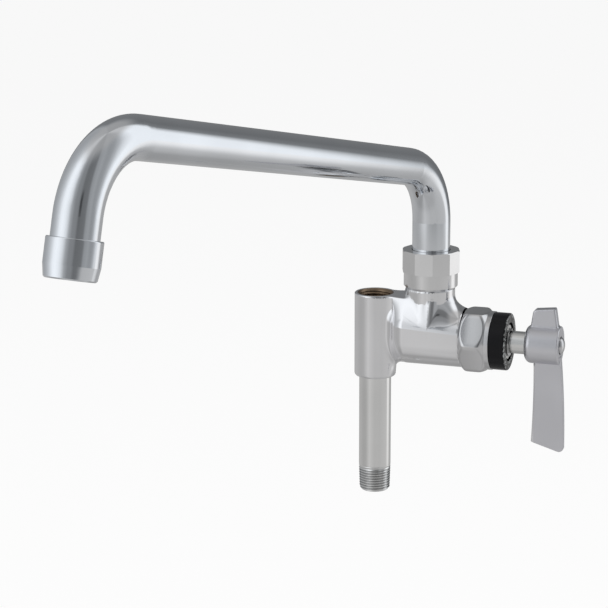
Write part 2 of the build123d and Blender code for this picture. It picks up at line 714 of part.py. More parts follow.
# ---- spout ----
def spout_path():
    """The tube's centre line: riser, bend, rising arm, nose bend and drop, in that order."""
    slope = radians(ARM_SLOPE)
    lean = radians(DROP_LEAN)
    bend_z = spout_nut_top + RISER_TOP
    bends_reach = BEND_RADIUS * (1 - sin(slope)) + NOSE_BEND_RADIUS * (sin(slope) + cos(lean))
    arm_length = (REACH - bends_reach - DROP_LENGTH * sin(lean)) / cos(slope)
    riser = Line((0, tube_foot), (0, bend_z))
    bend = JernArc(riser @ 1, riser % 1, BEND_RADIUS, ARM_SLOPE - 90)
    arm_end = bend @ 1 + Vector(cos(slope), sin(slope)) * arm_length
    arm = Line(bend @ 1, arm_end)
    nose = JernArc(arm @ 1, arm % 1, NOSE_BEND_RADIUS, DROP_LEAN - 90 - ARM_SLOPE)
    drop = Line(nose @ 1, nose @ 1 + Vector(sin(lean), -cos(lean)) * (DROP_LENGTH - OUTLET_SHELF))
    return [spout_plane() * run for run in (riser, bend, arm, nose, drop)]


def spout_plane():
    """Upright plane of the spout: its x runs out from the swivel's axis and its y runs up."""
    angle = radians(SPOUT_AZIMUTH)
    return Plane(
        origin=(SPOUT_X, 0, 0),
        x_dir=(cos(angle), sin(angle), 0),
        z_dir=(sin(angle), -cos(angle), 0),
    )


def tube_run(run, start_r, end_r):
    """Round bar along one run of the centre line, easing from one radius to the other."""
    across = spout_plane().z_dir
    sections = [
        Plane(origin=run @ share, x_dir=across, z_dir=run % share) * Circle(radius)
        for share, radius in ((0, start_r), (1, end_r))
    ]
    return sweep(sections, path=run, multisection=True)


def spout_tube():
    """Bent tube, a little larger in its riser and its drop than along the arm."""
    ends = ((1, 1), (1, 0), (0, 0), (0, 1), (1, 1))
    solid = None
    bore = None
    for run, (start, end) in zip(spout_path(), ends):
        start_r = tube_r + start * END_SWELL
        end_r = tube_r + end * END_SWELL
        outside = tube_run(run, start_r, end_r)
        inside = tube_run(run, start_r - TUBE_WALL, end_r - TUBE_WALL)
        solid = outside if solid is None else solid + outside
        bore = inside if bore is None else bore + inside
    return solid - bore


def swivel_sleeve():
    """Turned sleeve brazed into the riser: spigot, split-ring groove and two O-ring grooves."""
    spigot_r = tube_end_r - TUBE_WALL - BRAZE_ROOM
    ring_groove_r = swivel_r - SPLIT_RING_DEPTH
    seal_groove_r = swivel_r - RING_SECTION
    bore_r = SLEEVE_BORE / 2
    sleeve = turned_z(
        (bore_r, sleeve_foot),
        (swivel_r, sleeve_foot),
        (swivel_r, split_ring_z - SWIVEL_GAP / 2),
        (ring_groove_r, split_ring_z - SWIVEL_GAP / 2),
        (ring_groove_r, split_ring_z + SPLIT_RING + SWIVEL_GAP / 2),
        (swivel_r, split_ring_z + SPLIT_RING + SWIVEL_GAP / 2),
        (swivel_r, tube_foot),
        (spigot_r, tube_foot),
        (spigot_r, tube_foot + SLEEVE_IN_TUBE),
        (bore_r, tube_foot + SLEEVE_IN_TUBE),
    )
    for index in range(2):
        start = sleeve_foot + SLEEVE_SEAL_Z + index * SLEEVE_SEAL_SPACING
        sleeve -= band_z(seal_groove_r, swivel_r + CUT_ROOM, start, start + groove_length)
    return on_spout(sleeve)


def spout_o_rings():
    """Two rubber rings in the sleeve's grooves."""
    ring = rubber_ring(swivel_r - ring_r)
    first = sleeve_foot + SLEEVE_SEAL_Z + groove_length / 2
    heights = [first + index * SLEEVE_SEAL_SPACING for index in range(2)]
    return Compound(children=[on_spout(Pos(0, 0, height) * ring) for height in heights])


def split_ring():
    """Split ring snapped into the sleeve's groove; the nut's lip holds it down."""
    inner_r = swivel_r - SPLIT_RING_DEPTH + FACE_GAP
    ring = sector(inner_r, boss_neck_r - SPLIT_RING_ROOM, 90, 360 - SPLIT_OPENING)
    return on_spout(Pos(0, 0, split_ring_z) * extrude(ring, SPLIT_RING))


def swivel_washer():
    """Acetal washer between the boss and the split ring."""
    ring = Circle(boss_neck_r) - Circle(swivel_r + SPLIT_RING_ROOM)
    return on_spout(Pos(0, 0, boss_neck_top) * extrude(ring, SWIVEL_WASHER + SWIVEL_GAP))


def spout_nut():
    """Ten-sided union nut over the boss's neck, with a round collar below its facets."""
    facet_foot = spout_nut_top - SPOUT_NUT_FACET_LENGTH
    crown_r = spout_corner_r - SPOUT_NUT_CROWN
    facets = Pos(0, 0, boss_top) * Rot(0, 0, SPOUT_NUT_TURN) * extrude(
        RegularPolygon(spout_corner_r, SPOUT_NUT_SIDES), spout_nut_top - boss_top
    )
    envelope = turned_z(
        (0, boss_top),
        (spout_collar_r - SPOUT_NUT_FOOT, boss_top),
        (spout_collar_r, boss_top + SPOUT_NUT_FOOT),
        (spout_collar_r, facet_foot),
        (spout_corner_r, facet_foot + SPOUT_NUT_CROWN),
        (spout_corner_r, spout_nut_top - SPOUT_NUT_CROWN),
        (crown_r, spout_nut_top),
        (0, spout_nut_top),
    )
    inside = rod_z(spout_nut_bore_r, boss_top - CUT_ROOM, nut_shelf_z)
    inside += rod_z(tube_hole_r, nut_shelf_z - CUT_ROOM, spout_nut_top + CUT_ROOM)
    return on_spout((facets & envelope) - inside)


def at_outlet(shape):
    """Stands a shape made about Z on the outlet, with its +Z up the drop."""
    drop = spout_path()[-1]
    up = (drop % 1) * -1
    outlet = drop @ 1 - up * OUTLET_SHELF
    place = Plane(origin=outlet, x_dir=spout_plane().z_dir, z_dir=up)
    return place.location * shape


def outlet_ferrule():
    """Sleeve brazed on the end of the drop, tapering to a chamfered rim."""
    mouth_r = ferrule_r - FERRULE_MOUTH_STEP
    ferrule = turned_z(
        (outlet_r, 0),
        (mouth_r - FERRULE_RIM_CHAMFER, 0),
        (mouth_r, FERRULE_RIM_CHAMFER),
        (ferrule_r, FERRULE_TAPER_LENGTH),
        (ferrule_r, FERRULE_LENGTH),
        (ferrule_socket_r, FERRULE_LENGTH),
        (ferrule_socket_r, OUTLET_SHELF),
        (outlet_r, OUTLET_SHELF),
    )
    top = [
        edge
        for edge in ferrule.edges().filter_by(GeomType.CIRCLE)
        if edge.center().Z > FERRULE_LENGTH - 0.01 and edge.radius > ferrule_socket_r + 0.01
    ]
    return at_outlet(fillet(top, FERRULE_TOP_ROUND))


def flow_regulator():
    """Moulded insert pushed up inside the outlet: a rim, a core and straight vanes between."""
    rim_r = outlet_r - REGULATOR_ROOM
    core = Circle(REGULATOR_CORE_R)
    insert = Circle(rim_r) - Circle(rim_r - REGULATOR_RIM) + core
    length = rim_r - REGULATOR_RIM / 2
    for index in range(REGULATOR_VANES):
        vane = Pos(length / 2, 0) * Rectangle(length, REGULATOR_VANE)
        insert += Rot(0, 0, index * 360 / REGULATOR_VANES) * vane
    height = OUTLET_SHELF - REGULATOR_SETBACK
    return at_outlet(Pos(0, 0, REGULATOR_SETBACK) * extrude(insert, height))


PARTS = {
    "faucet_body": faucet_body,
    "inlet_nipple": inlet_nipple,
    "cartridge_housing": cartridge_housing,
    "housing_o_ring": housing_o_ring,
    "seat_seal": seat_seal,
    "fixed_disc": fixed_disc,
    "moving_disc": moving_disc,
    "cartridge_stem": cartridge_stem,
    "stem_o_rings": stem_o_rings,
    "friction_washer": friction_washer,
    "stem_clip": stem_clip,
    "bonnet_nut": bonnet_nut,
    "index_ring": index_ring,
    "lever_handle": lever_handle,
    "handle_screw": handle_screw,
    "spout_tube": spout_tube,
    "swivel_sleeve": swivel_sleeve,
    "spout_o_rings": spout_o_rings,
    "split_ring": split_ring,
    "swivel_washer": swivel_washer,
    "spout_nut": spout_nut,
    "outlet_ferrule": outlet_ferrule,
    "flow_regulator": flow_regulator,
}

os.makedirs("parts", exist_ok=True)
for name, make in PARTS.items():
    export_step(make(), f"parts/{name}.step")
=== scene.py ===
import json
from math import cos, pi, radians, sin

import bpy
import numpy as np
from mathutils import Matrix, Vector


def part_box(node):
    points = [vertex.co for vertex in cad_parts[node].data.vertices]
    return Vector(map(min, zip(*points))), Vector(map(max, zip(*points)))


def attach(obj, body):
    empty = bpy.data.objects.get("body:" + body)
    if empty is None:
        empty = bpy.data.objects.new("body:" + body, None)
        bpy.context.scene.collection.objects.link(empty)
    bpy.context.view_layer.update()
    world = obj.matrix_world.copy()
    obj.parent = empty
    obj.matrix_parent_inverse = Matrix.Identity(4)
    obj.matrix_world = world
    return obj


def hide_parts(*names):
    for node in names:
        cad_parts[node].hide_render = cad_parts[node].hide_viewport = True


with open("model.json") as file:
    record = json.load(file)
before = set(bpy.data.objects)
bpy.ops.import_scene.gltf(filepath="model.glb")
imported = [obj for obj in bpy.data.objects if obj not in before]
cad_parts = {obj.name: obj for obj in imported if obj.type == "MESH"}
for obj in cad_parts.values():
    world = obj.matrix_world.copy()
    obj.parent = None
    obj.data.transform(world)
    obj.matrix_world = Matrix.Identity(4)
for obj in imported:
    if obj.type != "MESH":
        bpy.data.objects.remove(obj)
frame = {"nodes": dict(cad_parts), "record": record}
nodes = frame["nodes"]
scene = bpy.context.scene
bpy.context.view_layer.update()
scene.view_settings.view_transform = "Standard"

MM = 0.001


# ---- camera ----
CAMERA_PLACE = (0.28913, -0.96929, 0.34425)   # metres
CAMERA_AZIMUTH = 18.77           # degrees, from -Y towards +X
CAMERA_ELEVATION = 13.42
CAMERA_ROLL = -0.2
CAMERA_LENS = 115.46             # mm, on a sensor of this width
SENSOR = 36.0


def camera_axes():
    """Right, up and back directions: azimuth about Z, then elevation, then roll about the view."""
    a, e, r = radians(CAMERA_AZIMUTH), radians(CAMERA_ELEVATION), radians(CAMERA_ROLL)
    back = Vector((sin(a) * cos(e), -cos(a) * cos(e), sin(e)))
    level = Vector((cos(a), sin(a), 0))
    up = back.cross(level)
    right = level * cos(r) + up * sin(r)
    return right, back.cross(right), back


def place_camera():
    """The studio's camera, with a long lens."""
    data = bpy.data.cameras.new("studio_camera")
    data.lens = CAMERA_LENS
    data.sensor_width = SENSOR
    camera = bpy.data.objects.new("studio_camera", data)
    right, up, back = camera_axes()
    turned = Matrix((right, up, back)).transposed().to_4x4()
    camera.matrix_world = Matrix.Translation(CAMERA_PLACE) @ turned
    scene.collection.objects.link(camera)
    scene.camera = camera


# ---- shader arithmetic ----
class Wire:
    """A socket in a node tree.  Arithmetic on wires adds Math nodes."""

    def __init__(self, tree, socket):
        self.tree = tree
        self.socket = socket

    def add(self, kind, settings=None, inputs=None, out=0):
        """Adds a node: its type, its settings, then the values or wires of its sockets."""
        node = self.tree.nodes.new(kind)
        for key, value in (settings or {}).items():
            if key == "stops":
                set_stops(node.color_ramp, value)
            else:
                setattr(node, key, value)
        for key, value in (inputs or {}).items():
            if isinstance(value, Wire):
                self.tree.links.new(value.socket, node.inputs[key])
            else:
                node.inputs[key].default_value = value
        return Wire(self.tree, node.outputs[out])

    def math(self, operation, first, second=0.0, clamp=False):
        """One Math node; either value may be a wire or a number."""
        settings = {"operation": operation, "use_clamp": clamp}
        return self.add("ShaderNodeMath", settings, {0: first, 1: second})

    def __add__(self, other):
        return self.math("ADD", self, other)

    __radd__ = __add__

    def __sub__(self, other):
        return self.math("SUBTRACT", self, other)

    def __rsub__(self, other):
        return self.math("SUBTRACT", other, self)

    def __mul__(self, other):
        return self.math("MULTIPLY", self, other)

    __rmul__ = __mul__

    def __truediv__(self, other):
        return self.math("DIVIDE", self, other)

    def step(self, low, high):
        """Smooth rise from 0 to 1 between two values; falls if low is above high."""
        return self.add(
            "ShaderNodeMapRange",
            {"interpolation_type": "SMOOTHSTEP"},
            {"Value": self, "From Min": low, "From Max": high},
        )

    def mix(self, first, second):
        """Colour between two colours, by this wire's value."""
        return self.add("ShaderNodeMix", {"data_type": "RGBA"}, {0: self, 6: first, 7: second}, out=2)


def set_stops(ramp, stops):
    """Fills a colour ramp with (position, colour) stops."""
    while len(ramp.elements) < len(stops):
        ramp.elements.new(0.5)
    for element, (position, colour) in zip(ramp.elements, stops):
        element.position = position
        element.color = colour


# ---- mesh helpers ----
def grid_mesh(name, points, closed=False):
    """A quad between each four neighbours of a grid; a closed grid's last column is its first again."""
    rows, columns = points.shape[:2]
    if closed:
        points = points[:, :-1]
        columns -= 1
    index = np.arange(rows * columns).reshape(rows, columns)
    if closed:
        index = np.concatenate([index, index[:, :1]], axis=1)
    quads = np.stack([index[:-1, :-1], index[:-1, 1:], index[1:, 1:], index[1:, :-1]], -1).reshape(-1, 4)
    mesh = bpy.data.meshes.new(name)
    mesh.from_pydata(points.reshape(-1, 3).tolist(), [], quads.tolist())
    mesh.polygons.foreach_set("use_smooth", np.ones(len(mesh.polygons), bool))
    return mesh


def added(name, mesh, *finishes):
    """Puts a mesh into the scene at the origin, with its finishes."""
    obj = bpy.data.objects.new(name, mesh)
    scene.collection.objects.link(obj)
    for finish in finishes:
        mesh.materials.append(finish)
    return obj


def drop_faces(mesh, doomed):
    """Takes faces out of a mesh; the rest keep their normals."""
    spots = np.empty(3 * len(mesh.vertices))
    mesh.vertices.foreach_get("co", spots)
    corners = np.empty(len(mesh.loops), int)
    mesh.loops.foreach_get("vertex_index", corners)
    ways = np.empty(3 * len(mesh.loops))
    mesh.corner_normals.foreach_get("vector", ways)
    sides = len(mesh.loops) // len(mesh.polygons)
    faces = corners.reshape(-1, sides)[~doomed]
    ways = ways.reshape(-1, sides, 3)[~doomed]
    mesh.clear_geometry()
    mesh.from_pydata(spots.reshape(-1, 3).tolist(), [], faces.tolist())
    mesh.polygons.foreach_set("use_smooth", np.ones(len(faces), bool))
    mesh.normals_split_custom_set(ways.reshape(-1, 3).tolist())


# ---- studio ----
# lengths in metres; turns in degrees from the camera to its right, and rises in degrees
FLOOR_Z = -0.25
FLOOR_HALF = 30.0
FLOOR_PAINT = 0.85
FLOOR_GLOW_SHARE = 0.86          # the rest of the floor's light is paint, which shows the shadow
FILL_LIGHT = 0.65                # from the surroundings, where they aren't seen
MIDDLE = (0.02, -0.12, 0.12)     # of the object, where the lamps point
LAMP_SIZE = 1.4
LAMPS = [
    ("key_lamp", (-1.1, -1.3, 1.3), 14),
    ("fill_lamp", (1.5, -0.9, 0.8), 7),
    ("top_lamp", (0.1, 0.3, 1.8), 8),
]
TENT_RADIUS = 1.2
TENT_TURNS = 49
TENT_RISES = 25
HORIZON = -3.0                   # where the ground meets the walls
HORIZON_SOFT = 3.0
CEILING_RISE = 62.0
CEILING_SOFT = 10.0
CEILING_OF_WALL = 0.25           # the ceiling's brightness: this share of the wall below, and this more
CEILING_GLOW = 0.33
LIT_TURN = (94, 118, 5)          # from, to, softness: where the ground mirrors the bright panels
LIT_RISE = (-30, -4)
LIT_GLOW = 0.4
DEEP_RISE = (-25, -50)           # where the ground darkens towards the object's foot
DEEP_LOSS = 0.07
UPRIGHT_TURN = (1, 9, 2)         # the length of the upright panel that is darkest
UPRIGHT_RISE = (20, 34, 4)
UPRIGHT_LOSS = 0.6
COOL = (0.95, 0.975, 1.0, 1)
WARM = (1.0, 0.995, 0.99, 1)
TOP_GLOW = 1.2                   # the most that the two lists below may say
# brightness of the walls and of the ground, by turn
WALL_GLOW = [
    (-180, 0.2), (-150, 0.21), (-142, 0.4), (-128, 0.38), (-112, 0.42), (-95, 0.51), (-83, 0.64),
    (-74, 0.8), (-64, 1.02), (-54, 1.08), (-44, 1.0), (-35, 0.82), (-25, 0.42), (-15, 0.27),
    (-4, 0.25), (3, 0.17), (12, 0.17), (26, 0.19), (33, 0.33), (46, 0.38), (58, 0.33), (68, 0.36),
    (77, 0.5), (86, 0.8), (95, 1.04), (115, 1.0), (120, 0.6), (125, 0.22), (140, 0.17), (180, 0.2),
]
GROUND_GLOW = [
    (-180, 0.4), (-150, 0.46), (-126, 0.46), (-90, 0.41), (-70, 0.43), (-54, 0.53), (-42, 0.6),
    (-30, 0.56), (-6, 0.5), (18, 0.5), (32, 0.49), (54, 0.51), (76, 0.53), (90, 0.56), (104, 0.58),
    (118, 0.5), (130, 0.42), (180, 0.4),
]


def panel(name, corners, material):
    """A flat piece of the studio, by its corners."""
    mesh = bpy.data.meshes.new(name)
    mesh.from_pydata(corners, [], [tuple(range(len(corners)))])
    obj = added(name, mesh, material)
    return obj


def seen_rays(start):
    """1 for camera, glossy and transmission rays, and 0 for the rest."""
    rays = start.add("ShaderNodeLightPath")
    outs = rays.socket.node.outputs
    names = ("Is Camera Ray", "Is Glossy Ray", "Is Transmission Ray")
    camera, glossy, through = (Wire(rays.tree, outs[name]) for name in names)
    return rays.math("ADD", rays.math("MAXIMUM", camera, glossy), through, clamp=True)


def new_tree(name):
    """A material with an empty tree, a wire to start from and its output node."""
    material = bpy.data.materials.new(name)
    material.use_nodes = True
    tree = material.node_tree
    tree.nodes.clear()
    output = tree.nodes.new("ShaderNodeOutputMaterial")
    return material, Wire(tree, None), output


def floor_material():
    """White paint that keeps a share of its shadow and otherwise glows white where it is seen."""
    material, start, output = new_tree("studio_floor")
    paint = start.add("ShaderNodeBsdfDiffuse", None, {"Color": (FLOOR_PAINT, FLOOR_PAINT, FLOOR_PAINT, 1)})
    glow = start.add("ShaderNodeEmission", None, {"Color": (1, 1, 1, 1), "Strength": 1.0})
    share = seen_rays(start) * FLOOR_GLOW_SHARE
    surface = start.add("ShaderNodeMixShader", None, {0: share, 1: paint, 2: glow})
    start.tree.links.new(surface.socket, output.inputs["Surface"])
    return material


def light_world():
    """Even white surroundings where they are seen, and a plain fill for everything else."""
    world = bpy.data.worlds.new("studio_world")
    scene.world = world
    world.use_nodes = True
    tree = world.node_tree
    tree.nodes.clear()
    output = tree.nodes.new("ShaderNodeOutputWorld")
    start = Wire(tree, None)
    strength = seen_rays(start) * (1 - FILL_LIGHT) + FILL_LIGHT
    light = start.add("ShaderNodeBackground", None, {"Color": (1, 1, 1, 1), "Strength": strength})
    tree.links.new(light.socket, output.inputs["Surface"])


def tent_material():
    """Light tent: each panel's brightness, by direction from the object."""
    material, start, output = new_tree("studio_tent")
    place = start.add("ShaderNodeTexCoord", None, None, out=3)
    direction = start.add("ShaderNodeVectorMath", {"operation": "NORMALIZE"}, {0: place})
    _, _, back = camera_axes()
    ahead = Vector((back.x, back.y, 0)).normalized()
    side = Vector((-ahead.y, ahead.x, 0))

    def along(axis):
        """How far the direction points along an axis."""
        return start.add("ShaderNodeVectorMath", {"operation": "DOT_PRODUCT"}, {0: direction, 1: axis}, out=1)

    front, right, height = along(ahead), along(side), along(Vector((0, 0, 1)))
    turn = start.math("ARCTAN2", right, front) * (180 / pi)
    rise = start.math("ARCSINE", height) * (180 / pi)

    def band(wire, low, high, soft):
        """1 between two values and 0 outside them, with soft edges."""
        return wire.step(low - soft, low + soft) * wire.step(high + soft, high - soft)

    def round_about(stops):
        """Brightness by the turn: a ramp over the whole circle, scaled to its top."""
        ramp = [((place + 180) / 360, 3 * (glow / TOP_GLOW,) + (1,)) for place, glow in stops]
        shade = start.add("ShaderNodeValToRGB", {"stops": ramp}, {"Fac": turn / 360 + 0.5})
        return TOP_GLOW * start.add("ShaderNodeSeparateColor", None, {0: shade})

    wall = round_about(WALL_GLOW)
    ground = round_about(GROUND_GLOW)
    ground = ground + LIT_GLOW * band(turn, *LIT_TURN) * rise.step(*LIT_RISE)
    ground = ground - DEEP_LOSS * rise.step(*DEEP_RISE)
    wall = wall * (1 - UPRIGHT_LOSS * band(turn, *UPRIGHT_TURN) * band(rise, *UPRIGHT_RISE))
    ceiling = rise.step(CEILING_RISE - CEILING_SOFT, CEILING_RISE + CEILING_SOFT)
    wall = wall * (1 - ceiling) + (CEILING_OF_WALL * wall + CEILING_GLOW) * ceiling
    above = rise.step(HORIZON - HORIZON_SOFT, HORIZON + HORIZON_SOFT)
    value = ground * (1 - above) + wall * above
    cool = above * (1 - ceiling)
    tint = cool.mix(WARM, COOL)
    glow = start.add("ShaderNodeEmission", None, {"Color": tint, "Strength": value})
    start.tree.links.new(glow.socket, output.inputs["Surface"])
    return material


def raise_tent():
    """A ball round the object that only polished surfaces show: longitude by latitude."""
    turns = np.linspace(0, 2 * pi, TENT_TURNS)
    turns, rises = np.meshgrid(turns, np.linspace(-pi / 2, pi / 2, TENT_RISES))
    points = np.stack([np.cos(rises) * np.cos(turns), np.cos(rises) * np.sin(turns), np.sin(rises)], -1)
    tent = added("studio_tent", grid_mesh("studio_tent", TENT_RADIUS * points), tent_material())
    for flag in ("visible_camera", "visible_diffuse", "visible_shadow", "visible_transmission"):
        setattr(tent, flag, False)


def soft_lamp(name, place, power):
    """A square lamp that points at the object and isn't itself reflected."""
    data = bpy.data.lights.new(name, "AREA")
    data.shape = "SQUARE"
    data.size = LAMP_SIZE
    data.energy = power
    lamp = bpy.data.objects.new(name, data)
    lamp.location = place
    aim = Vector(MIDDLE) - Vector(place)
    lamp.rotation_euler = aim.to_track_quat("-Z", "Y").to_euler()
    lamp.visible_glossy = False
    scene.collection.objects.link(lamp)


def build_studio():
    """White floor, even surroundings, the tent and three lamps."""
    half = FLOOR_HALF
    corners = [(-half, -half, FLOOR_Z), (half, -half, FLOOR_Z), (half, half, FLOOR_Z), (-half, half, FLOOR_Z)]
    floor = panel("studio_floor", corners, floor_material())
    floor.visible_glossy = False
    light_world()
    raise_tent()
    for name, place, power in LAMPS:
        soft_lamp(name, place, power)


# ---- finishes ----
DRIFT_SCALE = 28.0               # of the noise that varies a metal's colour and polish
MOULDED_SCALE = 90.0             # and a moulding's
GRAIN_SCALE = 900.0
DRIFT_BAND = (0.3, 0.7)          # the noise's values between the dark and the pale colour
DARK_METAL = 0.94                # the dark colour, as a share of the pale one
DARK_MOULDING = 0.9
MOULDED_SPREAD = 0.05
# painted shade in a thread's groove: the colour there, as a share of the metal's
GROOVE_PAINTED_SHADE = 0.3
GROOVE_SHADE_BAND = (0.2, 0.9)         # depths, as shares of the thread's, over which the painted shade in its groove deepens
RING_FACE = (0.07295, 0.07315)   # metres along X, where the index ring's outer face starts
RING_BLACK = (0.006, 0.006, 0.007, 1)
# painted highlight: pale flecks on the ring's outer face stand in for glints off its teeth
RING_PAINTED_GLINT = (0.42, 0.44, 0.44, 1)
RING_POLISH = 0.14               # roughness of the moulding, and what the painted glints add
GLINT_POLISH = 0.3
RING_SPECULAR = 0.16
# the painted glints: size and band of the flecks, then of the patches they come in
GLINT_FLECK_SCALE = 620.0
GLINT_FLECK_BAND = (0.5, 0.3)
GLINT_PATCH_SCALE = 260.0
GLINT_PATCH_BAND = (0.42, 0.52)
SATIN_DARK = (0.72, 0.72, 0.755, 1)
SATIN_PALE = (0.77, 0.77, 0.805, 1)
# painted highlight along the blade's inner edge, where a bevel would catch the light
SATIN_PAINTED_HIGHLIGHT = (0.98, 0.98, 1.0, 1)
SATIN_POLISH = 0.34              # roughness, how much it drifts, and how much less under the painted highlight
SATIN_SPREAD = 0.06
HIGHLIGHT_POLISH = 0.1
HIGHLIGHT_BAND = (0.1, 0.5)         # the drift's values over which the painted highlight fades in
SATIN_GRAIN = 0.03               # mm
# the inner edge of the lever's blade, in metres
BLADE_TOP = 0.082                # the height where it starts
BLADE_RUN = 0.0469               # how far down it goes
BLADE_EDGE = 0.0864              # its place along X at the top
BLADE_LEAN = 0.0006              # how far it leans inwards on its way down
BLADE_BULGE = 0.0005             # and how far it bows inwards midway
HIGHLIGHT_FROM = (0.0045, 0.0055)   # below its top, where the painted highlight starts
HIGHLIGHT_WIDTH = (0.0017, 0.001)


def painted(colour, share=1):
    """A colour with an alpha of 1; a share below 1 makes it darker."""
    return tuple(share * channel for channel in colour) + (1,)


def new_finish(name):
    """A new material, its start wire and output, and the place on the object."""
    material, start, output = new_tree(name)
    return material, start, output, start.add("ShaderNodeTexCoord", None, None, out=3)


def noise(place, scale, detail=3.0):
    """Noise by the place, about 0.5 on average."""
    return place.add("ShaderNodeTexNoise", None, {"Vector": place, "Scale": scale, "Detail": detail})


def shaded(start, output, values):
    """Puts a Principled shader with these values on a material's output."""
    surface = start.add("ShaderNodeBsdfPrincipled", None, values)
    start.tree.links.new(surface.socket, output.inputs["Surface"])


def metal(name, colour, roughness, spread, groove=0.0):
    """Metal with a faint drift in its colour and polish; a thread's groove may carry painted shade."""
    material, start, output, place = new_finish(name)
    drift = noise(place, DRIFT_SCALE)
    tint = drift.step(*DRIFT_BAND).mix(painted(colour, DARK_METAL), painted(colour))
    if groove:
        # painted shade: the colour darkens deep in the thread's groove
        depth = start.add("ShaderNodeAttribute", {"attribute_name": "groove"}, None, out=2)
        tint = (groove * depth.step(*GROOVE_SHADE_BAND)).mix(tint, painted(colour, GROOVE_PAINTED_SHADE))
    polish = roughness + spread * (drift - 0.5)
    shaded(start, output, {"Base Color": tint, "Metallic": 1.0, "Roughness": polish})
    return material


def plain(name, colour, roughness):
    """Moulded plastic, rubber or ceramic with a slight drift in its colour."""
    material, start, output, place = new_finish(name)
    drift = noise(place, MOULDED_SCALE)
    tint = drift.step(*DRIFT_BAND).mix(painted(colour, DARK_MOULDING), painted(colour))
    shaded(start, output, {"Base Color": tint, "Roughness": roughness + MOULDED_SPREAD * (drift - 0.5)})
    return material


def ring_with_painted_glints(name):
    """Black moulding, glossy on its side; its outer face carries pale flecks of painted highlight, standing
    in for glints off the small teeth of that face.
    """
    material, start, output, place = new_finish(name)
    face = start.add("ShaderNodeSeparateXYZ", None, {0: place}).step(*RING_FACE)
    glint_flecks = start.add("ShaderNodeTexVoronoi", {"feature": "F1"}, {"Vector": place, "Scale": GLINT_FLECK_SCALE})
    glint_patches = noise(place, GLINT_PATCH_SCALE, 2.0)
    # painted highlight: pale flecks on the outer face, in patches
    painted_glint = face * glint_flecks.step(*GLINT_FLECK_BAND) * glint_patches.step(*GLINT_PATCH_BAND)
    tint = painted_glint.mix(RING_BLACK, RING_PAINTED_GLINT)
    polish = RING_POLISH + GLINT_POLISH * painted_glint
    shaded(start, output, {"Base Color": tint, "Roughness": polish, "Specular IOR Level": RING_SPECULAR})
    return material


def satin_with_painted_highlight(name):
    """Satin plating with a painted highlight along the blade's inner edge, where a bevel would catch the
    light: a leaning line less a parabola.
    """
    material, start, output, place = new_finish(name)
    along = start.add("ShaderNodeSeparateXYZ", None, {0: place})
    height = start.add("ShaderNodeSeparateXYZ", None, {0: place}, out=2)
    drift = noise(place, DRIFT_SCALE)
    down = (BLADE_TOP - height) * (1 / BLADE_RUN)
    edge = BLADE_EDGE - BLADE_LEAN * down - 4 * BLADE_BULGE * down * (1 - down)
    on_blade = height.step(*(BLADE_TOP - below for below in HIGHLIGHT_FROM))
    # painted highlight: a pale strip along the blade's inner edge
    painted_highlight = (along - edge).step(*HIGHLIGHT_WIDTH) * on_blade * drift.step(*HIGHLIGHT_BAND)
    satin = drift.step(*DRIFT_BAND).mix(SATIN_DARK, SATIN_PALE)
    grain = {"Strength": 1.0, "Distance": MM, "Height": SATIN_GRAIN * noise(place, GRAIN_SCALE, 2.0)}
    values = {
        "Base Color": painted_highlight.mix(satin, SATIN_PAINTED_HIGHLIGHT),
        "Metallic": 1.0,
        "Roughness": SATIN_POLISH + SATIN_SPREAD * (drift - 0.5) - HIGHLIGHT_POLISH * painted_highlight,
        "Normal": start.add("ShaderNodeBump", None, grain),
    }
    shaded(start, output, values)
    return material


# each slot's finish, then the finishes that only the scene's own pieces wear
FINISH = {
    "body_chrome": metal("body_chrome", (0.91, 0.91, 0.925), 0.07, 0.02),
    "spout_chrome": metal("spout_chrome", (0.855, 0.88, 0.915), 0.09, 0.02),
    "pipe_plating": metal("pipe_plating", (0.9, 0.9, 0.895), 0.1, 0.03),
    "nut_plating": metal("nut_plating", (0.87, 0.87, 0.875), 0.12, 0.03),
    "lever_satin": satin_with_painted_highlight("lever_satin"),
    "cartridge_plating": metal("cartridge_plating", (0.80, 0.80, 0.79), 0.16, 0.03),
    "raw_brass": metal("raw_brass", (0.45, 0.33, 0.2), 0.35, 0.1),
    "spring_steel": metal("bright_steel", (0.7, 0.7, 0.71), 0.18, 0.04),
    "index_black": ring_with_painted_glints("index_black"),
    "seal_rubber": plain("seal_rubber", (0.03, 0.03, 0.03), 0.6),
    "valve_ceramic": plain("valve_ceramic", (0.86, 0.85, 0.82), 0.3),
    "white_acetal": plain("white_acetal", (0.85, 0.85, 0.83), 0.42),
}
# the nipple's plating, with painted shade in its thread's groove
thread_plating_painted_shade = metal("thread_plating_painted_shade", (0.9, 0.9, 0.895), 0.1, 0.03, groove=0.7)
bonnet_plating = metal("bonnet_plating", (0.74, 0.74, 0.75), 0.14, 0.04)
socket_brass = metal("socket_brass", (0.26, 0.19, 0.13), 0.3, 0.1)


def dress_nodes():
    """Gives each node the finish of its slot."""
    for part in frame["record"]["subparts"]:
        node = nodes[part["node"]]
        node.data.materials.clear()
        node.data.materials.append(FINISH[part["material_slot"]])


